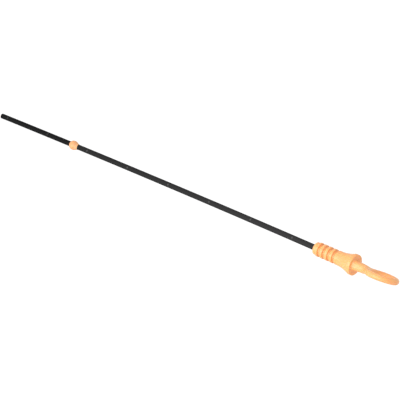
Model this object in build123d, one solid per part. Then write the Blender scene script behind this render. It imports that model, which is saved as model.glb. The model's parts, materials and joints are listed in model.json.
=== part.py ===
from build123d import *
import math
import os

# Engine oil dipstick, lying on a flat surface. All lengths are millimetres and all angles degrees.
# It is drawn first with the handle's axis along X, the rod towards -X and the finger ring towards +X.
# Stations are places along that axis, counted from the flat face of the collar.

# Rod
rod_length = 408.4  # from the nose of the plug to the tip
rod_root_diameter = 6.0
rod_tip_diameter = 5.2
rod_tip_round = 0.4
rod_bow = 1.15  # how far the middle of the rod stands off its chord
bow_roll = 30.0  # the rod bows to the front and, by this angle, downwards
socket_depth = 32.0  # straight root held inside the handle
socket_clearance = 0.05

# Ejector marks along the rod
mark_count = 8
mark_from_tip = 9.0
mark_pitch = 53.0
mark_diameter = 2.2
mark_depth = 0.28
mark_roll = 70.0  # how far round the rod the marks sit, from the side that it bows to

# Guide bead
bead_diameter = 9.2
bead_end_diameter = 6.9
bead_length = 7.4
bead_from_tip = 96.0
bead_clearance = 0.05

# Ribbed plug of the handle
nose_diameter = 13.2
nose_length = 4.3  # from the nose to the first rib
nose_round = 1.2
rib_diameter = 14.8
first_rib_width = 2.2
groove_count = 4
groove_pitch = 6.0
groove_width = 2.8
groove_depth = 1.5
groove_round = 0.7
rib_round = 0.45

# Body, flare and collar
body_length = 3.4  # straight land between the last groove and the flare
flare_length = 15.5
collar_diameter = 22.0
collar_rim = 3.4
collar_round = 0.25

# Neck
neck_diameter = 9.2
neck_length = 12.8  # from the collar face to where the neck starts to thin
neck_base_round = 1.2

# Finger ring
ring_station = 32.4
ring_hole_diameter = 23.6
arm_width = 6.6
arm_height = 6.6
arm_round_share = 0.48  # of the thinner side of an arm, so that its section is almost round
stem_width = 8.4
shoulder_round = 6.5
blend_sink = 0.45  # how far one blended form lies below the face of the other
root_round = 5.5  # in its own plane the stem flares out onto the collar

# Sizes that follow from those above
socket_radius = rod_root_diameter / 2 + socket_clearance
first_groove = nose_length + first_rib_width + groove_width / 2
last_wall = first_groove + (groove_count - 1) * groove_pitch + groove_width / 2
plug_length = last_wall + body_length + flare_length + collar_rim
nose_station = -plug_length
nose_radius = nose_diameter / 2
rib_radius = rib_diameter / 2
collar_radius = collar_diameter / 2
neck_radius = neck_diameter / 2
bead_radius = bead_diameter / 2
ring_hole_radius = ring_hole_diameter / 2
ring_outer_radius = ring_hole_radius + arm_width
arm_round = arm_round_share * min(arm_width, arm_height)
root_room = math.sqrt((collar_radius - 2 * blend_sink) ** 2 - (arm_height / 2) ** 2) - stem_width / 2
bow_radius = rod_length**2 / (8 * rod_bow)
bowed_length = rod_length - rod_tip_round
groove_floor_radius = rib_radius - groove_depth
rib_width = min(groove_pitch - groove_width, first_rib_width)
full_turn = 360.0

# Rounds stop short of the walls that they lie on
wall_share = 0.45
floor_fillet = min(groove_round, wall_share * groove_depth, wall_share * groove_width)
lip_fillet = min(rib_round, wall_share * groove_depth, wall_share * rib_width, wall_share * body_length)
nose_fillet = min(nose_round, wall_share * nose_length, wall_share * (nose_radius - socket_radius))
step_wall = rib_radius - nose_radius
step_fillet = min(groove_round, wall_share * step_wall, wall_share * nose_length)
first_lip_fillet = min(lip_fillet, wall_share * step_wall)
rim_fillet = min(collar_round, wall_share * collar_rim)
base_fillet = min(neck_base_round, collar_radius - neck_radius - 2 * rim_fillet)
root_fillet = min(root_round, root_room)


def rod_radius(from_root):
    share = from_root / rod_length
    return (rod_root_diameter + (rod_tip_diameter - rod_root_diameter) * share) / 2


def rod_plane(from_root, roll=0.0):
    """Plane on the bowed centre line, with X along the rod towards its tip and Z out of its side."""
    turn = from_root / bow_radius
    along = Vector(-math.cos(turn), -math.sin(turn), 0)
    side = Vector(math.sin(turn), -math.cos(turn), 0)
    out = side * math.cos(math.radians(roll)) + Vector(0, 0, math.sin(math.radians(roll)))
    x = nose_station - bow_radius * math.sin(turn)
    y = -bow_radius * (1 - math.cos(turn))
    return Plane(origin=(x, y, 0), x_dir=along, z_dir=out)


def rod_section(from_root):
    frame = rod_plane(from_root)
    return Plane(origin=frame.origin, z_dir=frame.x_dir) * Circle(rod_radius(from_root))


def make_tip():
    """Last short stretch of the rod, with its square end rounded at the edge."""
    radius = rod_radius(bowed_length)
    start = Polyline((rod_tip_round, radius - rod_tip_round), (rod_tip_round, 0), (0, 0), (0, radius))
    edge = TangentArc((0, radius), (rod_tip_round, radius - rod_tip_round), tangent=(1, 0))
    return rod_plane(bowed_length) * revolve(make_face(Curve() + [start, edge]), Axis.X, full_turn)


def make_rod():
    bow = JernArc((nose_station, 0), (-1, 0), bow_radius, math.degrees(bowed_length / bow_radius))
    rod = sweep([rod_section(0), rod_section(bowed_length)], path=bow, multisection=True)
    root = extrude(rod_section(0), amount=-socket_depth)
    rod = rod + root + make_tip()
    for index in range(mark_count):
        from_root = rod_length - mark_from_tip - index * mark_pitch
        floor = rod_plane(from_root, mark_roll).offset(rod_radius(from_root) - mark_depth)
        rod = rod - floor * extrude(Circle(mark_diameter / 2), amount=mark_diameter)
    return rod


def bead_crown_radius():
    rise = (bead_diameter - bead_end_diameter) / 2
    return ((bead_length / 2) ** 2 + rise**2) / (2 * rise)


def make_bead():
    half = bead_length / 2
    end = bead_end_diameter / 2
    from_root = rod_length - bead_from_tip
    bore = rod_radius(from_root - half) + bead_clearance
    crown = ThreePointArc((-half, end), (0, bead_radius), (half, end))
    base = Polyline((half, end), (half, bore), (-half, bore), (-half, end))
    bead = revolve(make_face(Curve() + [crown, base]), Axis.X, full_turn)
    return rod_plane(from_root) * bead


def corner(profile, x, y):
    return profile.vertices().sort_by_distance((x, y, 0))[0]


def groove_stations():
    first = nose_station + first_groove
    return [first + index * groove_pitch for index in range(groove_count)]


def make_turned_handle():
    """Plug, body, flare, collar and neck as one turned form."""
    grooves = groove_stations()
    rib_start = nose_station + nose_length
    flare_start = -collar_rim - flare_length
    ring_middle = ring_station - ring_outer_radius + arm_width / 2
    thin_radius = arm_height / 2 - blend_sink
    plug = Polyline(
        (nose_station, 0),
        (nose_station, nose_radius),
        (rib_start, nose_radius),
        (rib_start, rib_radius),
        (flare_start, rib_radius),
    )
    flare = TangentArc((flare_start, rib_radius), (-collar_rim, collar_radius), tangent=(1, 0))
    head = Polyline(
        (-collar_rim, collar_radius),
        (0, collar_radius),
        (0, neck_radius),
        (neck_length, neck_radius),
        (ring_middle, thin_radius),
        (ring_middle, 0),
        (nose_station, 0),
    )
    profile = make_face(Curve() + [plug, flare, head])
    for station in grooves:
        profile = profile - Pos(station, rib_radius) * Rectangle(groove_width, 2 * groove_depth)
    for station in grooves:
        left, right = station - groove_width / 2, station + groove_width / 2
        floors = [corner(profile, left, groove_floor_radius), corner(profile, right, groove_floor_radius)]
        profile = fillet(floors, floor_fillet)
        lips = [corner(profile, left, rib_radius), corner(profile, right, rib_radius)]
        profile = fillet(lips, lip_fillet)
    profile = fillet(corner(profile, nose_station, nose_radius), nose_fillet)
    profile = fillet(corner(profile, rib_start, nose_radius), step_fillet)
    profile = fillet(corner(profile, rib_start, rib_radius), first_lip_fillet)
    rim = [corner(profile, -collar_rim, collar_radius), corner(profile, 0, collar_radius)]
    profile = fillet(rim, rim_fillet)
    profile = fillet(corner(profile, 0, neck_radius), base_fillet)
    return revolve(profile, Axis.X, full_turn)


def make_ring():
    """Finger ring with the flat stem that runs back into the neck."""
    half_stem = stem_width / 2
    stem_length = ring_station + 2 * blend_sink
    stem = Pos(ring_station - stem_length / 2) * Rectangle(stem_length, stem_width)
    foot_depth = arm_round + blend_sink
    foot_width = stem_width + 2 * (root_fillet + blend_sink)
    foot = Pos(-blend_sink - foot_depth / 2) * Rectangle(foot_depth, foot_width)
    plate = stem + foot + Pos(ring_station) * Circle(ring_outer_radius)
    meet = ring_station - math.sqrt(ring_outer_radius**2 - half_stem**2)
    shoulders = [corner(plate, meet, half_stem), corner(plate, meet, -half_stem)]
    plate = fillet(shoulders, shoulder_round)
    roots = [corner(plate, -blend_sink, half_stem), corner(plate, -blend_sink, -half_stem)]
    plate = fillet(roots, root_fillet)
    plate = plate - Pos(ring_station) * Circle(ring_hole_radius)
    ring = extrude(plate, amount=arm_height / 2, both=True)
    faces = ring.faces().filter_by(Axis.Z)
    rims = [edge for face in faces for edge in face.edges() if edge.center().X > -blend_sink]
    return fillet(rims, arm_round)


def make_handle():
    mouth = Plane(origin=(nose_station, 0, 0), z_dir=(1, 0, 0))
    socket = mouth * extrude(Circle(socket_radius), amount=socket_depth)
    return make_turned_handle() + make_ring() - socket


def bow_drop(from_root):
    """How far below the handle's axis the bow brings the rod."""
    return -rod_plane(from_root).origin.Y * math.sin(math.radians(bow_roll))


def rest_pitch():
    """How far the stick leans, from the collar down to whichever of bead and tip meets the surface first."""
    seat_station, seat_ring = rim_fillet - collar_rim, collar_radius - rim_fillet
    crown = bead_crown_radius()
    supports = [
        (rod_length - bead_from_tip, bead_radius - crown, crown),
        (rod_length, rod_tip_diameter / 2 - rod_tip_round, rod_tip_round),
    ]
    leans = []
    for from_root, ring, ball in supports:
        reach = seat_station - rod_plane(from_root).origin.X
        drop = seat_ring - ring - bow_drop(from_root)
        lean = math.atan2(drop, reach) - math.asin((ball - rim_fillet) / math.hypot(drop, reach))
        leans.append(math.degrees(lean))
    return min(leans)


def rest_roll(pitch):
    """How far the handle rolls over before the far edge of the finger ring meets the surface."""
    lean = math.radians(pitch)
    axis_height = (collar_radius - rim_fillet) * math.cos(lean) + rim_fillet
    axis_height += (ring_station - rim_fillet + collar_rim) * math.sin(lean)
    edge_radius = ring_outer_radius - arm_round
    edge_half = arm_height / 2 - arm_round
    reach = math.hypot(edge_radius, edge_half)
    return math.degrees(math.asin((axis_height - arm_round) / reach) - math.atan2(edge_half, edge_radius))


pitch = rest_pitch()
roll = rest_roll(pitch)
pieces = {
    "dip_rod": Rot(X=bow_roll) * make_rod(),
    "guide_bead": Rot(X=bow_roll) * make_bead(),
    "handle": Rot(X=-roll) * make_handle(),
}
pieces = {name: Rot(Y=-pitch) * piece for name, piece in pieces.items()}
box = Compound(children=[Compound(piece.solids()) for piece in pieces.values()]).bounding_box()
home = Pos(-box.center().X, -box.center().Y, -box.min.Z)

os.makedirs("parts", exist_ok=True)
for name, piece in pieces.items():
    export_step(home * piece, f"parts/{name}.step")

print("pitch", round(pitch, 3), "roll", round(roll, 2), "box", box.size)
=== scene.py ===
import json
import math

import bmesh
import bpy
from mathutils import Matrix, Vector


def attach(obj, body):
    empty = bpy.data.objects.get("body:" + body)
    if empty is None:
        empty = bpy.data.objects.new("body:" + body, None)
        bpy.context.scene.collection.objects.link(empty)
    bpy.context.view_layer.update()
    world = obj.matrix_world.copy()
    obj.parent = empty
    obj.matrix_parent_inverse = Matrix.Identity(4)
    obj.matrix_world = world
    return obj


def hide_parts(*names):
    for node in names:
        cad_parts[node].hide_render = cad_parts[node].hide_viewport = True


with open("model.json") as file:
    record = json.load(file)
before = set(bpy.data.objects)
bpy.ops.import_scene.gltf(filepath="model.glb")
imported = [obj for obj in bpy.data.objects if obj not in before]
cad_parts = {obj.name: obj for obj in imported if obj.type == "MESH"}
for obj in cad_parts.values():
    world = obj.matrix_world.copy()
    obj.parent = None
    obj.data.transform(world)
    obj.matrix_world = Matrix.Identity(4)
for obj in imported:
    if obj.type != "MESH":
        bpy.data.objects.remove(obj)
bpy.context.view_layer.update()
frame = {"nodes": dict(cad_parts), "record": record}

scene = bpy.context.scene
millimetre = 0.001
print("frame loaded:", ", ".join(sorted(frame["nodes"])))

# where the stick lies: the ribbed plug is a mount in the frame, and the rest is measured along its axis
stick = {
    "ribsToCollar": 31.92,  # middle of the ribs to the flat collar face, mm
    "roll": 32.56,  # the handle lies rolled over until its ring meets the floor, degrees
}
ribMount = next(mount for mount in frame["record"]["mounts"] if mount["name"] == "plug_ribs")
towardsRing = -Vector(ribMount["axis"])
collarPlace = Vector(ribMount["pos_m"]) + towardsRing * stick["ribsToCollar"] * millimetre
lean = Matrix.Rotation(-math.asin(towardsRing.z), 4, "Y")
rollOver = Matrix.Rotation(-math.radians(stick["roll"]), 4, "X")
stickPlace = Matrix.Translation(collarPlace) @ lean @ Matrix.Scale(millimetre, 4)
handlePlace = stickPlace @ rollOver


# shader maths: wraps one socket, so that an expression adds its own nodes
class Wire:
    def __init__(self, tree, socket=None):
        self.tree = tree
        self.socket = socket

    def node(self, kind, settings=None, inputs=None, output=0):
        made = self.tree.nodes.new("ShaderNode" + kind)
        for name, value in (settings or {}).items():
            setattr(made, name, value)
        for name, value in (inputs or {}).items():
            if isinstance(value, Wire):
                self.tree.links.new(value.socket, made.inputs[name])
            else:
                made.inputs[name].default_value = value
        return Wire(self.tree, made.outputs[output])

    def maths(self, operation, *values):
        return self.node("Math", {"operation": operation}, dict(enumerate(values)))

    def __add__(self, other):
        return self.maths("ADD", self, other)

    __radd__ = __add__

    def __sub__(self, other):
        return self.maths("SUBTRACT", self, other)

    def __rsub__(self, other):
        return self.maths("SUBTRACT", other, self)

    def __mul__(self, other):
        return self.maths("MULTIPLY", self, other)

    __rmul__ = __mul__

    def __abs__(self):
        return self.maths("ABSOLUTE", self)

    def fade(self, start, end):  # 0 before start, 1 past end, smooth between
        settings = {"interpolation_type": "SMOOTHSTEP"}
        return self.node("MapRange", settings, {"Value": self, "From Min": start, "From Max": end})

    def mix(self, first, second):  # colours
        return self.node("Mix", {"data_type": "RGBA"}, {0: self, 6: first, 7: second}, output=2)

    def part(self, axis):  # of coordinates
        return self.node("SeparateXYZ", None, {"Vector": self}, output=axis)

    def stretched(self, scale):  # coordinates, scaled by axis
        return self.node("Mapping", None, {"Vector": self, "Scale": scale})

    def noise(self, scale, detail, roughness=0.5):
        inputs = {"Vector": self, "Scale": scale, "Detail": detail, "Roughness": roughness}
        return self.node("TexNoise", None, inputs)

    def swing(self):  # noise about its middle
        return self - 0.5

    def bump(self, strength):  # of a height in mm
        return self.node("Bump", None, {"Strength": strength, "Distance": millimetre, "Height": self})


def startMaterial(name, place):
    material = bpy.data.materials.new(name)
    material.use_nodes = True
    tree = material.node_tree
    shader = tree.nodes["Principled BSDF"]
    wire = Wire(tree)
    back = place.inverted()  # object coordinates to the piece's own millimetres
    inputs = {
        "Vector": wire.node("TexCoord", output="Object"),
        "Location": back.to_translation(),
        "Rotation": back.to_euler("XYZ"),
        "Scale": back.to_scale(),
    }
    own = wire.node("Mapping", {"vector_type": "POINT"}, inputs)
    return material, shader, own


def feed(shader, values):
    for name, value in values.items():
        if isinstance(value, Wire):
            value.tree.links.new(value.socket, shader.inputs[name])
        else:
            shader.inputs[name].default_value = value


# lengths are in mm, scales count waves to the mm, and shares say how much of a layer shows
orangeFinish = {
    "colour": (0.925, 0.405, 0.135, 1),
    "paleColour": (0.94, 0.44, 0.16, 1),
    "deepColour": (0.88, 0.33, 0.08, 1),
    "roughness": 0.4,
    "cloudScale": 0.07,  # slow drift of the colour
    "cloudRange": (0.35, 0.7),
    "cloudShare": 0.5,
    "cloudGloss": 0.1,
    "flowScale": (0.04, 0.5, 0.5),  # streaks along the way the plastic ran
    "flowRange": (0.3, 0.75),
    "flowShare": 0.3,
    "speckScale": 5.0,
    "speckRange": (0.62, 0.74),
    "speckShare": 0.3,
    "grainScale": 2.4,
    "grainHeight": 0.004,
    "grainGloss": 0.12,
    "seamCrest": 0.048,  # the mould's parting line, from its middle
    "seamFoot": 0.12,
    "seamHeight": 0.05,
    "seamShare": 0.35,
    "bumpStrength": 0.8,
    "grooveShadeColour": (0.76, 0.3, 0.085, 1),  # painted shade: the grooves between the ribs are painted darker, for the shade that falls in them
    "grooveStations": (-45.3, -22.2),
    "grooveFade": 0.2,
    "grooveRadii": (5.95, 7.1),
    "grooveShadeShare": 0.8,
}
# the bead is of the same plastic, a little duller
beadFinish = {
    **orangeFinish,
    "colour": (0.74, 0.345, 0.14, 1),
    "paleColour": (0.76, 0.37, 0.16, 1),
    "deepColour": (0.68, 0.28, 0.09, 1),
    "roughness": 0.5,
}


# painted shade: where the grooves between the ribs are painted darker
def grooveShadeMask(own, finish):
    x, y, z = (own.part(axis) for axis in "XYZ")
    start, end = finish["grooveStations"]
    inner, outer = finish["grooveRadii"]
    fade = finish["grooveFade"]
    ribbed = x.fade(start, start + fade) * (1 - x.fade(end, end + fade))
    return ribbed * (1 - (y * y + z * z).fade(inner ** 2, outer ** 2))


def orangePlastic(name, place, finish):
    material, shader, own = startMaterial(name, place)
    clouds = own.noise(finish["cloudScale"], detail=3.0)
    flow = own.stretched(finish["flowScale"]).noise(1.0, detail=3.0)
    grain = own.noise(finish["grainScale"], detail=3.0, roughness=0.6)
    specks = own.noise(finish["speckScale"], detail=1.0)
    seam = 1 - abs(own.part("Z")).fade(finish["seamCrest"], finish["seamFoot"])
    tone = clouds.fade(*finish["cloudRange"]) * finish["cloudShare"]
    tone = tone + flow.fade(*finish["flowRange"]) * finish["flowShare"]
    colour = tone.mix(finish["colour"], finish["paleColour"])
    colour = (specks.fade(*finish["speckRange"]) * finish["speckShare"]).mix(colour, finish["deepColour"])
    colour = (seam * finish["seamShare"]).mix(colour, finish["paleColour"])
    # painted shade in the grooves between the ribs
    colour = (grooveShadeMask(own, finish) * finish["grooveShadeShare"]).mix(colour, finish["grooveShadeColour"])
    height = seam * finish["seamHeight"] + grain * finish["grainHeight"]
    gloss = grain.swing() * finish["grainGloss"] + clouds.swing() * finish["cloudGloss"]
    feed(shader, {
        "Base Color": colour,
        "Roughness": finish["roughness"] + gloss,
        "Normal": height.bump(finish["bumpStrength"]),
        "IOR": 1.48,
        "Specular IOR Level": 0.75,
        "Subsurface Weight": 0.25,
        "Subsurface Radius": (1.0, 0.35, 0.12),
        "Subsurface Scale": 2.0 * millimetre,
    })
    return material


blackFinish = {
    "tipColour": (0.004, 0.004, 0.0043, 1),  # darker and glossier from about the bead to the tip
    "midColour": (0.0155, 0.0153, 0.0155, 1),
    "rootColour": (0.0255, 0.025, 0.0255, 1),
    "wornColour": (0.07, 0.069, 0.068, 1),
    "roughness": 0.62,
    "tipRoughness": 0.5,
    "tipFades": (-372.0, -350.0),  # stations
    "tipRun": 30.0,  # how far the streaks pull the edge of the darker tip along
    "grainScale": 1.6,
    "grainHeight": 0.015,
    "grainGloss": 0.2,
    "grainWear": 0.12,
    "streakScale": (0.05, 1.2, 1.2),
    "streakHeight": 0.009,
    "streakWear": 0.1,
    "wearRange": (0.55, 0.8),
    "bumpStrength": 0.7,
}
# painted highlight: the floors of the ejector marks are painted grey, for the light that they reflect
markHighlightFinish = {
    **blackFinish,
    "tipColour": (0.022, 0.022, 0.022, 1),
    "midColour": (0.055, 0.054, 0.054, 1),
    "rootColour": (0.068, 0.067, 0.067, 1),
}


def blackPlastic(name, place, finish):
    material, shader, own = startMaterial(name, place)
    x = own.part("X")
    grain = own.noise(finish["grainScale"], detail=4.0, roughness=0.6)
    streaks = own.stretched(finish["streakScale"]).noise(1.0, detail=2.0)
    # the rod is darker and glossier from about the bead to the tip, and lighter grey towards the handle
    pastTip = (x + streaks.swing() * finish["tipRun"]).fade(*finish["tipFades"])
    along = x.fade(finish["tipFades"][1], handle["noseStation"])
    colour = along.mix(finish["midColour"], finish["rootColour"])
    colour = pastTip.mix(finish["tipColour"], colour)
    worn = grain.fade(*finish["wearRange"]) * finish["grainWear"]
    worn = worn + streaks.fade(*finish["wearRange"]) * finish["streakWear"]
    colour = (worn * pastTip).mix(colour, finish["wornColour"])
    height = grain * finish["grainHeight"] + streaks * finish["streakHeight"]
    gloss = (1 - pastTip) * (finish["tipRoughness"] - finish["roughness"])
    feed(shader, {
        "Base Color": colour,
        "Roughness": finish["roughness"] + gloss + grain.swing() * finish["grainGloss"],
        "Normal": height.bump(finish["bumpStrength"]),
        "IOR": 1.5,
        "Specular IOR Level": 0.09,
    })
    return material


# wires, loops and finishing, shared by the pieces
hair = 0.001  # points nearer than this count as one, mm


def vertsOf(geometry):
    return [part for part in geometry if isinstance(part, bmesh.types.BMVert)]


def edgesWithin(verts):
    inside = set(verts)
    found = [edge for vert in verts for edge in vert.link_edges if edge.other_vert(vert) in inside]
    return list(dict.fromkeys(found))


def roundEdges(bm, edges, rounding, steps):
    bmesh.ops.bevel(bm, geom=edges, offset=rounding, affect="EDGES", segments=steps,
                    profile=0.5, material=-1)


def roundedWire(bm, corners, longest, arcSteps):
    # corners are station, radius and rounding; long straight runs get evenly spaced points
    smallRounding, smallSteps = 2.0, 2  # a small corner is rounded further by the smoothing
    verts = [bm.verts.new((station, 0, radius)) for station, radius, _ in corners]
    for pair in zip(verts, verts[1:]):
        bm.edges.new(pair)
    for vert, (_, _, rounding) in zip(verts, corners):
        if rounding:
            steps = smallSteps if rounding < smallRounding else arcSteps
            bmesh.ops.bevel(bm, geom=[vert], offset=rounding, affect="VERTICES", segments=steps,
                            profile=0.5, material=-1)
    for edge in list(bm.edges):
        cuts = int(edge.calc_length() / longest)
        if cuts:
            bmesh.ops.subdivide_edges(bm, edges=[edge], cuts=cuts)


def swellOf(steps):  # smoothing shrinks a round loop, and this makes up for it
    return 6 / (4 + 2 * math.cos(math.tau / steps))


def turn(bm, steps):
    bmesh.ops.spin(bm, geom=bm.verts[:] + bm.edges[:], cent=(0, 0, 0), axis=(1, 0, 0),
                   angle=math.tau, steps=steps, use_merge=True)
    bmesh.ops.remove_doubles(bm, verts=bm.verts, dist=hair)
    bmesh.ops.scale(bm, vec=(1, swellOf(steps), swellOf(steps)), verts=bm.verts)


def extrudeLoop(bm, edges):
    return vertsOf(bmesh.ops.extrude_edge_only(bm, edges=edges)["geom"])


def finishPiece(bm, name, place, materials, node, smoothing=0):
    for face in bm.faces:
        face.smooth = True
    bmesh.ops.recalc_face_normals(bm, faces=bm.faces)
    bmesh.ops.transform(bm, matrix=place, verts=bm.verts)
    mesh = bpy.data.meshes.new(name)
    bm.to_mesh(mesh)
    bm.free()
    for material in materials:
        mesh.materials.append(material)
    piece = bpy.data.objects.new(name, mesh)
    scene.collection.objects.link(piece)
    if smoothing:
        smooth = piece.modifiers.new("smooth", "SUBSURF")
        smooth.levels = smooth.render_levels = smoothing
        evaluated = piece.evaluated_get(bpy.context.evaluated_depsgraph_get())
        smoothed = bpy.data.meshes.new_from_object(evaluated)
        piece.modifiers.clear()
        piece.data = smoothed
    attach(piece, "root")
    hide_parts(node)


# the orange moulding, in mm: stations run along its axis from the flat collar face, towards the ring
handle = {
    "segments": 24,
    "longest": 2.6,  # longest straight run between two loops
    "arcSteps": 6,
    "smoothing": 2,
    "socketRadius": 3.05,
    "socketDepth": 32.0,
    "socketRound": 0.3,
    "noseStation": -49.6,
    "noseRadius": 6.6,
    "noseRound": 1.2,
    "noseLength": 4.3,
    "ribRadius": 7.4,
    "ribRound": 0.45,
    "stepRound": 0.36,
    "firstRibWidth": 2.2,
    "grooveCount": 4,
    "groovePitch": 6.0,
    "grooveWidth": 2.8,
    "grooveDepth": 1.5,
    "grooveRound": 0.65,
    "flareLength": 15.5,
    "collarRadius": 11.0,
    "collarRim": 3.4,
    "rimRound": 0.225,  # where the flare meets the rim
    "rimRoom": 0.25,  # end of the flare that is left to this rounding
    "faceRound": 0.3,  # edge of the collar's face
    "rootRadius": 8.6,  # where the neck starts to rise out of the collar face
}
# from the collar face a squared web narrows to the round neck, which then flattens and widens
# until it splits: station, half width in the plane of the ring, half height and squareness, where 2 is round
neckLoops = [
    (0.0, 7.9, 5.6, 4.0),
    (0.3, 7.5, 5.15, 4.0),
    (1.2, 7.15, 4.95, 3.8),
    (3.6, 6.5, 4.85, 3.4),
    (6.2, 5.8, 4.8, 2.9),
    (8.8, 5.15, 4.7, 2.4),
    (11.0, 4.9, 4.75, 2.0),
    (13.0, 5.2, 4.7, 2.0),
    (14.8, 6.4, 4.15, 2.0),
    (17.0, 7.6, 3.4, 2.0),
]
ring = {
    "station": 32.4,
    "holeRadius": 11.8,
    "armWidth": 6.6,
    "armHeight": 6.6,
    "armStart": 32.0,  # where the arms become a plain ring, degrees from the neck
    "armSteps": 22,
    "crotch": 20.8,  # station of the hole's edge at the split
    "shoulderLag": 1.5,  # how far the sides of the last neck loop stay behind
    "smoothFrom": 12.0,  # stretch about the split that is smoothed, stations
    "smoothTo": 23.0,
    "smoothTimes": 3,
}


def handleProfile():
    nose, rib = handle["noseStation"], handle["ribRadius"]
    lip, floor = handle["ribRound"], handle["grooveRound"]
    socketEnd = nose + handle["socketDepth"]
    step = nose + handle["noseLength"]
    corners = [
        (socketEnd, 0, 0),
        (socketEnd, handle["socketRadius"], handle["socketRound"]),
        (nose, handle["socketRadius"], handle["socketRound"]),
        (nose, handle["noseRadius"], handle["noseRound"]),
        (step, handle["noseRadius"], handle["stepRound"]),
        (step, rib, handle["stepRound"]),
    ]
    wall = step + handle["firstRibWidth"]
    for _ in range(handle["grooveCount"]):
        farWall = wall + handle["grooveWidth"]
        corners += [
            (wall, rib, lip),
            (wall, rib - handle["grooveDepth"], floor),
            (farWall, rib - handle["grooveDepth"], floor),
            (farWall, rib, lip),
        ]
        wall += handle["groovePitch"]
    rise = handle["collarRadius"] - rib
    arc = (handle["flareLength"] ** 2 + rise ** 2) / (2 * rise)
    reach = arc * math.tan(math.asin(handle["flareLength"] / arc) / 2)  # tangent length of the arc
    rim = -handle["collarRim"]
    corners += [
        (rim - handle["flareLength"] + reach, rib, reach - handle["rimRoom"]),
        (rim, handle["collarRadius"], handle["rimRound"]),
        (0, handle["collarRadius"], handle["faceRound"]),
        (0, handle["rootRadius"], 0),
    ]
    return corners


def growNeck(bm):
    swell = swellOf(handle["segments"])
    rootEdges = [edge for edge in bm.edges if edge.is_boundary]
    loop = list(dict.fromkeys(vert for edge in rootEdges for vert in edge.verts))
    for station, halfWidth, halfHeight, squareness in neckLoops:
        wide, high = (max(vert.co[axis] for vert in loop) for axis in (1, 2))
        loop = extrudeLoop(bm, edgesWithin(loop))
        for vert in loop:
            around = math.atan2(vert.co.z / high, vert.co.y / wide)
            across, up = math.cos(around), math.sin(around)
            out = swell / (abs(across) ** squareness + abs(up) ** squareness) ** (1 / squareness)
            vert.co = (station, halfWidth * out * across, halfHeight * out * up)
    for vert in loop:
        vert.co.x -= ring["shoulderLag"] * (vert.co.y / halfWidth / swell) ** 2
    return loop


def bendCrotch(bm, top, bottom):
    # half an oval over the split, from the top of the last neck loop round to its bottom
    split = top.co.x
    before = set(bm.verts)
    bmesh.ops.spin(bm, geom=[top], cent=(split, 0, 0), axis=(0, 1, 0), angle=math.pi,
                   steps=handle["segments"] // 2)
    chain = [vert for vert in bm.verts if vert not in before]
    bmesh.ops.scale(bm, vec=((ring["crotch"] - split) / top.co.z, 1, 1), verts=chain,
                    space=Matrix.Translation((-split, 0, 0)))
    last = min(chain, key=lambda vert: (vert.co - bottom.co).length)
    bmesh.ops.pointmerge(bm, verts=[bottom, last], merge_co=bottom.co)
    chain.remove(last)
    return edgesWithin([top, bottom] + chain)


def sweepRing(bm):
    # from one shoulder round to the other, with its two ends left open
    count = handle["segments"]
    stepTurn = math.radians(360 - 2 * ring["armStart"]) / ring["armSteps"]
    middle = (ring["holeRadius"] + ring["armWidth"] / 2) * swellOf(math.tau / stepTurn)
    centre = (ring["station"], 0, 0)
    upright = Matrix.Rotation(math.pi / 2, 4, "X")
    towardsArm = Matrix.Rotation(-math.radians(ring["armStart"]), 3, "Z")
    section = bmesh.ops.create_circle(bm, segments=count, radius=swellOf(count) / 2, matrix=upright)["verts"]
    bmesh.ops.scale(bm, vec=(ring["armWidth"], 1, ring["armHeight"]), verts=section)
    bmesh.ops.translate(bm, vec=(ring["station"] - middle, 0, 0), verts=section)
    bmesh.ops.rotate(bm, cent=centre, matrix=towardsArm, verts=section)
    swept = bmesh.ops.spin(bm, geom=section + edgesWithin(section), cent=centre, axis=(0, 0, 1),
                           angle=-stepTurn * ring["armSteps"], steps=ring["armSteps"])["geom_last"]
    return section, vertsOf(swept)


def makeHandle(material):
    bm = bmesh.new()
    roundedWire(bm, handleProfile(), handle["longest"], handle["arcSteps"])
    turn(bm, handle["segments"])
    loop = growNeck(bm)
    top = max(loop, key=lambda vert: vert.co.z)
    bottom = min(loop, key=lambda vert: vert.co.z)
    crotch = bendCrotch(bm, top, bottom)
    firstEnd, lastEnd = sweepRing(bm)
    for side, end in ((1, firstEnd), (-1, lastEnd)):
        half = [vert for vert in loop if vert.co.y * side > -hair]
        bmesh.ops.bridge_loops(bm, edges=edgesWithin(half) + crotch + edgesWithin(end))
    fork = [vert for vert in bm.verts if ring["smoothFrom"] < vert.co.x < ring["smoothTo"]]
    for _ in range(ring["smoothTimes"]):
        bmesh.ops.smooth_vert(bm, verts=fork, factor=0.5,
                              use_axis_x=True, use_axis_y=True, use_axis_z=True)
    finishPiece(bm, "handleMoulding", handlePlace, [material], "handle",
                handle["smoothing"])


# the rod, in mm, is straight inside the handle and then bends gently forwards and down,
# and round marks run along the upper side of its front
rod = {
    "segments": 48,
    "longest": 6.0,  # longest run between two loops
    "length": 408.4,  # from the plug's nose to the tip
    "rootRadius": 3.0,
    "tipRadius": 2.6,
    "tipRound": 0.4,
    "tipSteps": 5,
    "bow": 1.15,  # height of the arc over its chord
    "bowRoll": 30.0,  # to the front and, by this angle, downwards
    "markCount": 8,
    "markFromTip": 9.0,
    "markPitch": 53.0,
    "markRadius": 1.1,
    "markDepth": 0.28,
    "markEdge": 0.05,
    "markEdgeSteps": 2,
    "markRoll": 70.0,  # from the side that the rod bends to, degrees
    "markBlock": 4,  # faces on either side of a mark that make room for it
}
rodPlace = stickPlace @ Matrix.Rotation(math.radians(rod["bowRoll"]), 4, "X")
towardsMarks = Matrix.Rotation(math.radians(90 - rod["markRoll"]), 4, "X")


def rodRadius(fromRoot):
    return rod["rootRadius"] + (rod["tipRadius"] - rod["rootRadius"]) * max(0, fromRoot) / rod["length"]


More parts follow.
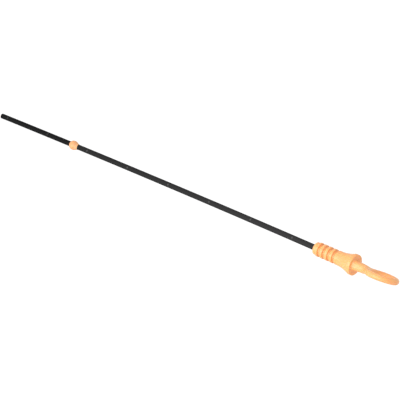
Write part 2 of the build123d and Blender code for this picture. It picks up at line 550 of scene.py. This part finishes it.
def rodFrame(fromRoot):
    # on the centre line, with X back towards the root and Y away from the side that the rod bends to
    bowRadius = rod["length"] ** 2 / (8 * rod["bow"])
    if fromRoot < 0:
        return Matrix.Translation((handle["noseStation"] - fromRoot, 0, 0))
    centre = Matrix.Translation((handle["noseStation"], -bowRadius, 0))
    swing = Matrix.Rotation(fromRoot / bowRadius, 4, "Z")
    return centre @ swing @ Matrix.Translation((0, bowRadius, 0))


def markPlaces():
    first = rod["length"] - rod["markFromTip"]
    return [first - index * rod["markPitch"] for index in range(rod["markCount"])]


def rodStops():
    # fine loops beside the marks, coarse ones between them
    reach = rodRadius(rod["length"] / 2) * math.tau / rod["segments"]
    stops = [-handle["socketDepth"], 0, rod["length"]]
    for mark in markPlaces():
        stops += [mark + step * reach for step in range(-rod["markBlock"], rod["markBlock"] + 1)]
    stops.sort()
    filled = []
    for start, end in zip(stops, stops[1:]):
        count = math.ceil((end - start) / rod["longest"])
        filled += [start + (end - start) * step / count for step in range(count)]
    return filled + [rod["length"]], reach


def openBlock(bm, back, reach):
    # takes out the faces about a mark and gives the border that they leave
    halfTurn = rod["markBlock"] * math.tau / rod["segments"]
    block = []
    for face in bm.faces:
        spot = back @ face.calc_center_median()
        if abs(spot.x) < rod["markBlock"] * reach and abs(math.atan2(spot.y, spot.z)) < halfTurn:
            block.append(face)
    edges = dict.fromkeys(edge for face in block for edge in face.edges)
    border = [edge for edge in edges if any(face not in block for face in edge.link_faces)]
    bmesh.ops.delete(bm, geom=block, context="FACES")
    return border


def cutMark(bm, mark, reach):
    place = rodFrame(mark) @ towardsMarks  # Z points out through the middle of the mark
    back = place.inverted()
    border = openBlock(bm, back, reach)
    rim = bmesh.ops.create_circle(bm, segments=len(border), radius=rod["markRadius"])["verts"]
    radius = rodRadius(mark)
    for vert in rim:
        vert.co.z = math.sqrt(radius ** 2 - vert.co.y ** 2)
    bmesh.ops.transform(bm, matrix=place, verts=rim)
    rimEdges = edgesWithin(rim)
    bmesh.ops.bridge_loops(bm, edges=border + rimEdges)
    floor = extrudeLoop(bm, rimEdges)
    bmesh.ops.transform(bm, matrix=back, verts=floor)
    for vert in floor:
        vert.co.z = radius - rod["markDepth"]
    bmesh.ops.transform(bm, matrix=place, verts=floor)
    floorEdges = edgesWithin(floor)
    for face in bmesh.ops.contextual_create(bm, geom=floorEdges)["faces"]:
        face.material_index = 1
    for edge in floorEdges:
        edge.smooth = False
    roundEdges(bm, rimEdges, rod["markEdge"], rod["markEdgeSteps"])


def makeRod(material, markMaterial):
    bm = bmesh.new()
    stops, reach = rodStops()
    facing = towardsMarks @ Matrix.Rotation(math.pi / 2, 4, "Y")
    loop = bmesh.ops.create_circle(bm, segments=rod["segments"], radius=1.0, matrix=facing)["verts"]
    shape = Matrix.Identity(4)
    root = edgesWithin(loop)
    for stop in stops:
        nextShape = rodFrame(stop) @ Matrix.Diagonal((1, rodRadius(stop), rodRadius(stop), 1))
        if stop != stops[0]:
            loop = extrudeLoop(bm, edgesWithin(loop))
        bmesh.ops.transform(bm, matrix=nextShape @ shape.inverted(), verts=loop)
        shape = nextShape
    tip = edgesWithin(loop)
    bmesh.ops.contextual_create(bm, geom=root)
    bmesh.ops.contextual_create(bm, geom=tip)
    roundEdges(bm, tip, rod["tipRound"], rod["tipSteps"])
    for mark in markPlaces():
        cutMark(bm, mark, reach)
    finishPiece(bm, "dipRod", rodPlace, [material, markMaterial], "dip_rod")


# the bead on the rod, in mm: a crowned ring with a thin skirt
bead = {
    "segments": 24,
    "longest": 2.0,
    "arcSteps": 8,
    "smoothing": 2,
    "fromTip": 96.0,
    "length": 7.4,
    "radius": 4.6,
    "endRadius": 3.45,
    "clearance": 0.05,
    "boreRound": 0.125,
    "edgeRound": 0.25,
    "tailLength": 2.4,  # the skirt, which runs up the rod towards the handle
    "tailRadius": 2.95,
    "tailRound": 1.0,
    "tailRoom": 1.1,  # end of the crown that is left to this rounding
    "tailEdge": 0.08,
}


def makeBead(material):
    half, end = bead["length"] / 2, bead["endRadius"]
    tail = half + bead["tailLength"]
    fromRoot = rod["length"] - bead["fromTip"]
    bore = rodRadius(fromRoot - half) + bead["clearance"]
    rise = bead["radius"] - end
    crown = (half ** 2 + rise ** 2) / (2 * rise)
    slope = math.asin(half / crown)
    bm = bmesh.new()
    roundedWire(bm, [
        (0, bore, 0),
        (-half, bore, bead["boreRound"]),
        (-half, end, bead["edgeRound"]),
        (0, end + half * math.tan(slope), half / math.cos(slope) - bead["tailRoom"]),
        (half, end, bead["tailRound"]),
        (tail, bead["tailRadius"], bead["tailEdge"]),
        (tail, bore, 0),
        (0, bore, 0),
    ], bead["longest"], bead["arcSteps"])
    turn(bm, bead["segments"])
    place = rodPlace @ rodFrame(fromRoot)
    finishPiece(bm, "guideBead", place, [material], "guide_bead", bead["smoothing"])


handleOrange = orangePlastic("handleOrange", handlePlace, orangeFinish)
beadOrange = orangePlastic("beadOrange", handlePlace, beadFinish)
rodBlack = blackPlastic("rodBlack", stickPlace, blackFinish)
# painted highlight: the grey floors of the ejector marks
markHighlightGrey = blackPlastic("markHighlightGrey", stickPlace, markHighlightFinish)
print("materials made")
makeHandle(handleOrange)
print("handle made")
makeRod(rodBlack, markHighlightGrey)
makeBead(beadOrange)
print("rod and bead made")

# the camera stands far off with a long lens, as the stick shows almost no perspective
view = {
    "azimuth": 38.78,
    "elevation": 34.089,
    "distance": 5.0574,
    "lens": 450.0,
    "aim": (0.00484, -0.00597),  # to the right and upwards of a point above the origin, m
    "aimHeight": 0.010,
    "farthest": 100.0,
}


def makeCamera():
    azimuth, elevation = math.radians(view["azimuth"]), math.radians(view["elevation"])
    back = Vector((math.sin(azimuth), -math.cos(azimuth), 0)) * math.cos(elevation)
    back.z = math.sin(elevation)
    turned = (-back).to_track_quat("-Z", "Y")
    aim = Vector((0, 0, view["aimHeight"])) + turned @ Vector((*view["aim"], 0))
    camera = bpy.data.objects.new("camera", bpy.data.cameras.new("camera"))
    camera.data.lens = view["lens"]
    camera.data.clip_end = view["farthest"]
    camera.location = aim + back * view["distance"]
    camera.rotation_mode = "QUATERNION"
    camera.rotation_quaternion = turned
    scene.collection.objects.link(camera)
    scene.camera = camera


# white paper that throws no light up at the part, an even sky and one large light from the front
studio = {
    "floorSize": 30.0,
    "floorColour": (0.1, 0.1, 0.1, 1),
    "floorGlow": 1.0,
    "skyStrength": 0.87,
    "keyPlace": (-0.2, -2.1, 0.9),
    "keySize": (2.6, 1.5),
    "keyPower": 52.0,
}
white = (1, 1, 1, 1)


def makeFloor():
    bm = bmesh.new()
    bmesh.ops.create_grid(bm, x_segments=1, y_segments=1, size=studio["floorSize"] / 2)
    mesh = bpy.data.meshes.new("floor")
    bm.to_mesh(mesh)
    bm.free()
    floor = bpy.data.objects.new("floor", mesh)
    scene.collection.objects.link(floor)
    paper = bpy.data.materials.new("floorPaper")
    paper.use_nodes = True
    feed(paper.node_tree.nodes["Principled BSDF"], {
        "Base Color": studio["floorColour"],
        "Roughness": 0.9,
        "Specular IOR Level": 0.1,
        "Emission Color": white,
        "Emission Strength": studio["floorGlow"],
    })
    mesh.materials.append(paper)
    floor.visible_diffuse = floor.visible_glossy = False


def makeLights():
    world = bpy.data.worlds.new("sky")
    world.use_nodes = True
    feed(world.node_tree.nodes["Background"], {"Color": white, "Strength": studio["skyStrength"]})
    scene.world = world
    light = bpy.data.lights.new("key", "AREA")
    light.energy = studio["keyPower"]
    light.shape = "RECTANGLE"
    light.size, light.size_y = studio["keySize"]
    key = bpy.data.objects.new("key", light)
    key.location = studio["keyPlace"]
    key.rotation_euler = (-key.location).to_track_quat("-Z", "Y").to_euler()
    key.visible_camera = False
    scene.collection.objects.link(key)
    scene.view_settings.view_transform = "Standard"


makeCamera()
makeFloor()
makeLights()
print("camera and studio set")
